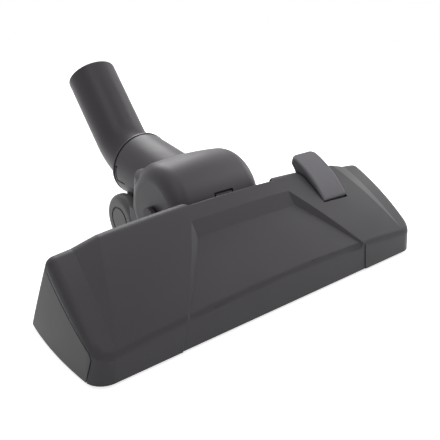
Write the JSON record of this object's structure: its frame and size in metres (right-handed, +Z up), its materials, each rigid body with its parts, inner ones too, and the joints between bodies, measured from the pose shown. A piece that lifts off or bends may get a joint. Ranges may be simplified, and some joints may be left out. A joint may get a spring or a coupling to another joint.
{
  "type": "vacuum floor brush head",
  "caption": "Wedge-shaped vacuum floor nozzle with a foot pedal that lowers a brush frame, a tilting wheeled neck and a bent swivelling connector tube for the wand.",
  "frame": {"origin": "middle of the overall outline's base, on the floor", "axes": "+X along the head towards the pedal's end, +Y from the front edge to the tube, +Z up"},
  "size_m": [0.272, 0.253, 0.1247],
  "materials": {
    "cover_plastic": "fine matt moulded texture, charcoal",
    "bumper_plastic": "soft matt, a little lighter than the cover",
    "sole_plastic": "plain moulded",
    "pedal_plastic": "fine matt, lighter than the cover",
    "brush_plastic": "plain moulded",
    "bristle": "nylon tufts",
    "neck_plastic": "satin moulded",
    "tube_plastic": "satin moulded",
    "wheel_plastic": "satin",
    "seal_rubber": "soft matt",
    "lint_fabric": "short pile",
    "ring_plastic": "plain moulded",
    "steel": "bright drawn"
  },
  "bodies": {
    "head": {"upper_shell": "cover_plastic", "sole_plate": "sole_plastic", "left_bumper": "bumper_plastic", "right_bumper": "bumper_plastic", "air_duct": "sole_plastic", "drum_seal": "seal_rubber", "front_lint_strip": "lint_fabric", "rear_lint_strip": "lint_fabric", "sole_screws": "steel", "left_hinge_pin": "steel", "right_hinge_pin": "steel", "pedal_pin": "steel", "detent_spring": "steel", "left_roller_pin": "steel", "right_roller_pin": "steel"},
    "brush": {"brush_frame": "brush_plastic", "front_bristles": "bristle", "rear_bristles": "bristle"},
    "pedal": {"pedal": "pedal_plastic"},
    "neck": {"neck_hood": "neck_plastic", "swivel_collar": "neck_plastic", "neck_base": "neck_plastic", "wheel_axle": "steel", "neck_screws": "steel", "swivel_seal": "seal_rubber"},
    "tube": {"connector_tube": "tube_plastic", "swivel_retaining_ring": "ring_plastic"},
    "left_wheel": {"left_wheel": "wheel_plastic"},
    "right_wheel": {"right_wheel": "wheel_plastic"},
    "left_roller": {"left_roller": "wheel_plastic"},
    "right_roller": {"right_roller": "wheel_plastic"}
  },
  "joints": [
    {"name": "neck_tilt", "type": "hinge", "parent": "head", "child": "neck", "pos_m": [0, -0.03249, 0.044], "axis": [1, 0, 0], "range_deg": [0, 50]},
    {"name": "tube_swivel", "type": "hinge", "parent": "neck", "child": "tube", "pos_m": [0, -0.03249, 0.044], "axis": [0, 0.9925, 0.1219], "range_deg": [-90, 90]},
    {"name": "pedal_rock", "type": "hinge", "parent": "head", "child": "pedal", "pos_m": [0.0755, -0.08649, 0.037], "axis": [-1, 0, 0], "range_deg": [0, 16]},
    {"name": "brush_slide", "type": "slide", "parent": "head", "child": "brush", "axis": [0, 0, -1], "range_m": [0, 0.00559]},
    {"name": "left_wheel_spin", "type": "hinge", "parent": "neck", "child": "left_wheel", "pos_m": [-0.0285, 0.01851, 0.02], "axis": [1, 0, 0], "continuous": true},
    {"name": "left_roller_spin", "type": "hinge", "parent": "head", "child": "left_roller", "pos_m": [-0.098, -0.05549, 0.0065], "axis": [1, 0, 0], "continuous": true},
    {"name": "right_wheel_spin", "type": "hinge", "parent": "neck", "child": "right_wheel", "pos_m": [0.0285, 0.01851, 0.02], "axis": [1, 0, 0], "continuous": true},
    {"name": "right_roller_spin", "type": "hinge", "parent": "head", "child": "right_roller", "pos_m": [0.098, -0.05549, 0.0065], "axis": [1, 0, 0], "continuous": true}
  ],
  "couplings": [
    {"joint": "brush_slide", "follows": "pedal_rock", "m_per_rad": 0.019935}
  ]
}
